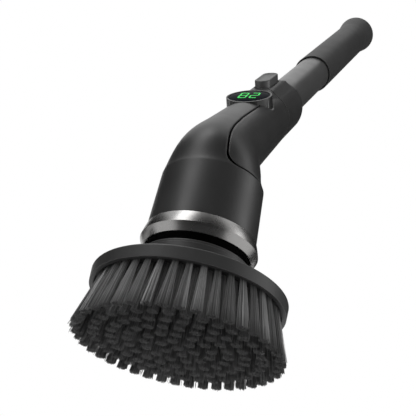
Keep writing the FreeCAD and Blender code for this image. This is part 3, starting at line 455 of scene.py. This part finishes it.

# display_rim: its edge colour is a painted highlight, the thin light line round the cup's rim
display_rim = finish_of("display_rim", mould, {
    "Colour": rgb(0.014), "Worn Colour": rgb(0.22), "Grain": 2100.0, "Mottle": 0.05,
    "Roughness": 0.36, "Edge": 0.0004}, bump=0.05)
screen_black = finish_of("screen_black", mould, {
    "Colour": rgb(0.004, -0.3), "Worn Colour": rgb(0.01), "Grain": 2500.0, "Mottle": 0.1,
    "Roughness": 0.9, "Edge": 0.0001}, bump=0.02, Specular_IOR_Level=0.02)
# black_glass: the bluish edge colour is a painted reflection along the ground edge; the glass's own
# reflection is turned almost off
black_glass = finish_of("black_glass", mould, {
    "Colour": (0.0015, 0.003, 0.006, 1.0), "Worn Colour": (0.03, 0.045, 0.07, 1.0),
    "Grain": 300.0, "Mottle": 0.02, "Roughness": 0.12, "Edge": 0.0003}, bump=0.01,
    Specular_IOR_Level=0.003)
digit_green = finish_of("digit_green", mould, {
    "Colour": (0.02, 0.6, 0.08, 1.0), "Worn Colour": (0.05, 0.7, 0.12, 1.0), "Grain": 900.0,
    "Mottle": 0.15, "Roughness": 0.5, "Edge": 0.0001}, bump=0.02, Emission_Strength=0.4)
tree = digit_green.node_tree
glow = [n for n in tree.nodes if n.type == "GROUP"][0].outputs["Colour"]
tree.links.new(glow, tree.nodes["Principled BSDF"].inputs["Emission Color"])
dress(screen_black, "display_module")

cup = copy_of(nodes["display_bezel"])
cup.name = cup.data.name = "display_cup"
bpy.ops.object.select_all(action="DESELECT")
cup.select_set(True)
bpy.context.view_layer.objects.active = cup
pick(cup, lambda at: True)
bpy.ops.mesh.remove_doubles(threshold=hair / 10)
bpy.ops.object.mode_set(mode="OBJECT")
cup.data.transform(display_place.inverted())
for corner in cup.data.vertices:
    share = min(max((corner.co.z - cup_low) / (cup_top - cup_low), 0), 1)
    corner.co.z += share * cup_lean * corner.co.x
bpy.ops.object.mode_set(mode="EDIT")
finished(cup, display_place, 28)
cup.data.materials.clear()
cup.data.materials.append(display_rim)
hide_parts("display_bezel")
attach(cup, "housing")

window = drum("display_window", lens_r, lens_low, lens_top, 96)
pick(window, lambda at: at.z > lens_top - hair)
bpy.ops.mesh.bevel(offset=ground_edge, segments=3, affect="EDGES")
pick(window, lambda at: at.z > lens_top - hair)
for step in dome_steps:
    bpy.ops.mesh.inset(thickness=step, depth=dome)
finished(window, display_place @ leaning, 20)
window.data.materials.append(black_glass)
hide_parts("display_lens")
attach(window, "housing")

bar_low, bar_top = lens_top + 2 * dome, lens_top + 4.6 * dome
stroke, digit_tall, digit_wide, digit_pitch = 0.00055, 0.0125, 0.0052, 0.0082
segments = []
for number, lit in enumerate(("abcdefg", "abged")):
    middle = (0.5 - number) * digit_pitch
    half, side = digit_tall / 2, digit_wide / 2
    bars = {"a": (half, 0, 0), "g": (0, 0, 0), "d": (-half, 0, 0),
            "b": (half / 2, -side, 1), "f": (half / 2, side, 1),
            "c": (-half / 2, -side, 1), "e": (-half / 2, side, 1)}
    for letter in lit:
        up, across, upright = bars[letter]
        length = (half if upright else digit_wide) - 2.6 * stroke
        bar = drum("bar", stroke, bar_low, bar_top, 12)
        pick(bar, lambda at: at.x > 0)
        bpy.ops.transform.translate(value=(length / 2, 0, 0))
        pick(bar, lambda at: at.x < 0)
        bpy.ops.transform.translate(value=(-length / 2, 0, 0))
        turn = Matrix.Rotation(0 if upright else math.pi / 2, 4, "Z")
        finished(bar, Matrix.Translation((up, middle + across, 0)) @ turn)
        segments.append(bar)
digits = joined(segments, "display_digits")
digits.data.transform(display_place @ leaning)
digits.data.materials.append(digit_green)
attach(digits, "housing")


# Upper housing: it carries the circuit board, the push switch under the button,
# the charging socket with its hinged rubber flap, and the pole.
button_plastic = finish_of("button_plastic", mould, {
    "Colour": rgb(0.06), "Worn Colour": rgb(0.2), "Grain": 2300.0, "Mottle": 0.04,
    "Roughness": 0.42, "Edge": 0.0007}, bump=0.06)
board_mask = finish_of("board_mask", mould, {
    "Colour": (0.01, 0.09, 0.035, 1.0), "Worn Colour": (0.3, 0.2, 0.08, 1.0), "Grain": 600.0,
    "Mottle": 0.3, "Roughness": 0.3, "Edge": 0.0003}, bump=0.2)
port_steel = finish_of("port_steel", turned, {
    "Colour": rgb(0.5), "Tarnish": rgb(0.4), "Marks": 500.0, "Roughness": 0.22}, Metallic=1.0)
dress(board_mask, "main_board")
dress(inner_plastic, "tact_switch")
dress(port_steel, "charge_socket", "port_hinge_pin")
dress(seal_rubber, "port_cover")


# Button: a moulded cap with round ends, a rolled rim and a shallow finger dish. Its
# flange keeps it in the housing, and its hollow underside holds the stem.
button_at, cap_half, cap_reach, cap_wall = 0.1019, 0.006, 0.0174, 0.0012
flange_low, flange_top, cap_top = 0.0164, 0.0171, 0.0288
rim_roll, rim_flat = 0.0007, 0.0006
dish_steps = ((0.0003, 0.0003), (0.0008, 0.00035), (0.0012, 0.0002))
cap = drum("button_shell", cap_half + cap_wall, flange_low, flange_top, 48)
pick(cap, lambda at: at.x > 0)
bpy.ops.transform.translate(value=(cap_reach - cap_half, 0, 0))
pick(cap, lambda at: at.x < 0)
bpy.ops.transform.translate(value=(cap_half - cap_reach, 0, 0))
pick(cap, lambda at: at.z > flange_top - hair)
bpy.ops.mesh.inset(thickness=cap_wall)
bpy.ops.mesh.extrude_region_move(TRANSFORM_OT_translate={"value": (0, 0, cap_top - flange_top)})
bpy.ops.mesh.bevel(offset=rim_roll, segments=4, affect="EDGES")
pick(cap, lambda at: at.z > cap_top - hair)
bpy.ops.mesh.inset(thickness=rim_flat)
for step, drop in dish_steps:
    bpy.ops.mesh.inset(thickness=step, depth=-drop)
pick(cap, lambda at: at.z < flange_low + hair)
bpy.ops.mesh.inset(thickness=2 * cap_wall)
bpy.ops.mesh.extrude_region_move(TRANSFORM_OT_translate={
    "value": (0, 0, cap_top - flange_low - 2 * cap_wall)})
finished(cap, handle @ Matrix.Translation((0, 0, button_at)) @ outward, 24)
cap.data.materials.append(button_plastic)
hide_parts("button_cap")
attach(cap, "button")


# Pole: an anodised aluminium tube in a moulded seat, with an expanding twist lock
# inside the outer tube, which carries a matt rubber-coated grip.
pole_metal = finish_of("pole_metal", mould, {
    "Colour": rgb(0.11), "Worn Colour": rgb(0.4), "Grain": 2600.0, "Mottle": 0.05,
    "Roughness": 0.36, "Edge": 0.0004}, bump=0.05, Metallic=0.5)
grip_rubber = finish_of("grip_rubber", mould, {
    "Colour": rgb(0.02), "Worn Colour": rgb(0.05), "Grain": 1600.0, "Mottle": 0.08,
    "Roughness": 0.55, "Edge": 0.0006}, bump=0.14)
dress(pole_metal, "inner_tube", "grip_tube")
dress(inner_plastic, "pole_socket", "lock_core", "lock_collar")
dress(grip_rubber, "grip_sleeve")


# Studio: a pale floor that runs out into a white backdrop, soft boxes, and dark
# cards that only reflections see, which give the metal and the satin plastic their
# dark bands. The camera looks up from below the floor, which is clear from there.
# The floor goes with the brush, so that a brush that is pulled off stands on it.
floor_half, floor_drop, fade_start, fade_end = 4.0, 0.0002, 0.2, 1.4
bpy.ops.object.select_all(action="DESELECT")
bpy.ops.mesh.primitive_plane_add(size=2 * floor_half, location=(0, 0, -floor_drop))
floor = bpy.context.object
floor.name = "studio_floor"
floor.visible_shadow = floor.visible_diffuse = floor.visible_glossy = False
pale = bpy.data.materials.new("pale_floor")
pale.use_nodes = True
tree = pale.node_tree
shader = tree.nodes["Principled BSDF"]
shader.inputs["Roughness"].default_value = 0.9
spot = node(tree, "TexCoord").outputs["Object"]
cloth = node(tree, "TexNoise", {"Vector": spot, "Scale": 6.0})
tint = node(tree, "MapRange", {"Value": cloth.outputs["Fac"], "To Min": 0.86, "To Max": 0.9})
tree.links.new(tint.outputs[0], shader.inputs["Base Color"])
distance = node(tree, "VectorMath", {0: spot}, operation="LENGTH")
fade = node(tree, "MapRange", {"Value": distance.outputs["Value"], "From Min": fade_start,
                               "From Max": fade_end}, interpolation_type="SMOOTHSTEP")
white = node(tree, "Emission", {"Strength": 1.0})
sweep = node(tree, "MixShader", {0: fade.outputs[0], 1: shader.outputs[0], 2: white.outputs[0]})
clear = node(tree, "BsdfTransparent")
under = node(tree, "MixShader", {0: node(tree, "NewGeometry").outputs["Backfacing"],
                                 1: sweep.outputs[0], 2: clear.outputs[0]})
tree.links.new(under.outputs[0], tree.nodes["Material Output"].inputs["Surface"])
floor.data.materials.append(pale)
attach(floor, "brush")

world = bpy.data.worlds.new("studio")
bpy.context.scene.world = world
world.use_nodes = True
tree = world.node_tree
path = node(tree, "LightPath").outputs
seen = node(tree, "Math", {0: path["Is Camera Ray"], 1: path["Is Transmission Ray"]},
            operation="MAXIMUM")
seen = node(tree, "Math", {0: seen.outputs[0], 1: path["Is Glossy Ray"]}, operation="MAXIMUM")
ambient = node(tree, "Background", {"Color": rgb(1.0), "Strength": 0.5})
backdrop = node(tree, "Background", {"Color": rgb(1.0), "Strength": 1.0})
both = node(tree, "MixShader", {0: seen.outputs[0], 1: ambient.outputs[0], 2: backdrop.outputs[0]})
tree.links.new(both.outputs[0], tree.nodes["World Output"].inputs["Surface"])

card_black = bpy.data.materials.new("card_black")
card_black.use_nodes = True
card_black.node_tree.nodes["Principled BSDF"].inputs["Base Color"].default_value = rgb(0.01)
card_black.node_tree.nodes["Principled BSDF"].inputs["Roughness"].default_value = 1.0
card_grey = card_black.copy()
card_grey.name = "card_grey"
card_grey.node_tree.nodes["Principled BSDF"].inputs["Emission Color"].default_value = rgb(1.0)
card_grey.node_tree.nodes["Principled BSDF"].inputs["Emission Strength"].default_value = 0.07
stand = Vector((0.08, 0.0, 0.2))
card_away = 4.0


def dark_card(name, towards, spans, edge=Vector((0, 0, 1)), beside=0.0, paint=card_black):
    """A flat card that faces the object and is seen by reflections alone.

    Spans are half angles in degrees along the edge direction and across it. The
    card can hang beside the direction, so that its own edge lies there.
    """
    towards = Vector(towards).normalized()
    along = (edge - towards * edge.dot(towards)).normalized()
    across = towards.cross(along)
    half_long, half_wide = (card_away * math.tan(math.radians(span)) for span in spans)
    middle = stand + towards * card_away + across * half_wide * beside
    bpy.ops.object.select_all(action="DESELECT")
    bpy.ops.mesh.primitive_plane_add(size=2.0)
    card = bpy.context.object
    card.name = name
    card.matrix_world = (Matrix.Translation(middle)
                         @ Matrix((along, across, along.cross(across))).transposed().to_4x4()
                         @ Matrix.Diagonal((half_long, half_wide, 1, 1)))
    card.visible_camera = card.visible_diffuse = card.visible_shadow = False
    card.visible_transmission = False
    card.data.materials.append(paint)


# the cards' own directions are where the barrel and the ring mirror the studio
dark_card("right_card", (0.62, 0.0, 0.72), (35, 38), Vector((0.38, 0.21, -0.33)), -1.0)
dark_card("front_card", (-0.917, -0.263, 0.3), (50, 55))
dark_card("left_card", (-0.05, 0.9, 0.39), (23, 38))
dark_card("low_left_card", (0.05, 0.95, -0.31), (13, 13))
dark_card("low_right_card", (0.81, -0.56, -0.2), (14, 12))
dark_card("low_front_card", (-0.62, -0.18, -0.68), (24, 42), paint=card_grey)


def soft_box(name, towards, distance, size, power, mirrored=True):
    """An area lamp in that direction from the object, aimed at it."""
    away = Vector(towards).normalized() * distance
    lamp = bpy.data.lights.new(name, "AREA")
    lamp.shape = "RECTANGLE"
    lamp.size, lamp.size_y = size
    lamp.energy = power
    lit = bpy.data.objects.new(name, lamp)
    bpy.context.scene.collection.objects.link(lit)
    lit.location = stand + away
    lit.rotation_euler = (-away).to_track_quat("-Z", "Y").to_euler()
    lit.visible_glossy = mirrored


soft_box("left_box", (-0.66, 0.36, 0.66), 1.2, (0.45, 1.2), 6.4)
soft_box("right_box", (0.2, -0.88, 0.38), 1.2, (0.5, 0.9), 2.5)
soft_box("side_box", (-0.86, -0.1, -0.1), 1.2, (0.9, 0.6), 2.2, mirrored=False)
soft_box("low_box", (-0.33, -0.55, -0.76), 1.1, (0.7, 0.7), 1.0, mirrored=False)

camera_at = Vector((-0.507657, -0.188823, -0.199918))
ahead = Vector((0.8222, 0.3056, 0.4802)).normalized()
right = Vector((0.2448, -0.9515, 0.1864))
right = (right - ahead * right.dot(ahead)).normalized()
above = right.cross(ahead)

camera = bpy.data.objects.new("camera", bpy.data.cameras.new("camera"))
bpy.context.scene.collection.objects.link(camera)
camera.data.sensor_width = 36.0
camera.data.lens = 84.376
camera.data.clip_start, camera.data.clip_end = 0.01, 20.0
camera.location = camera_at
turn = Matrix((right, above, -ahead)).transposed()
camera.rotation_euler = turn.to_euler()
bpy.context.scene.camera = camera
bpy.context.scene.view_settings.view_transform = "Standard"
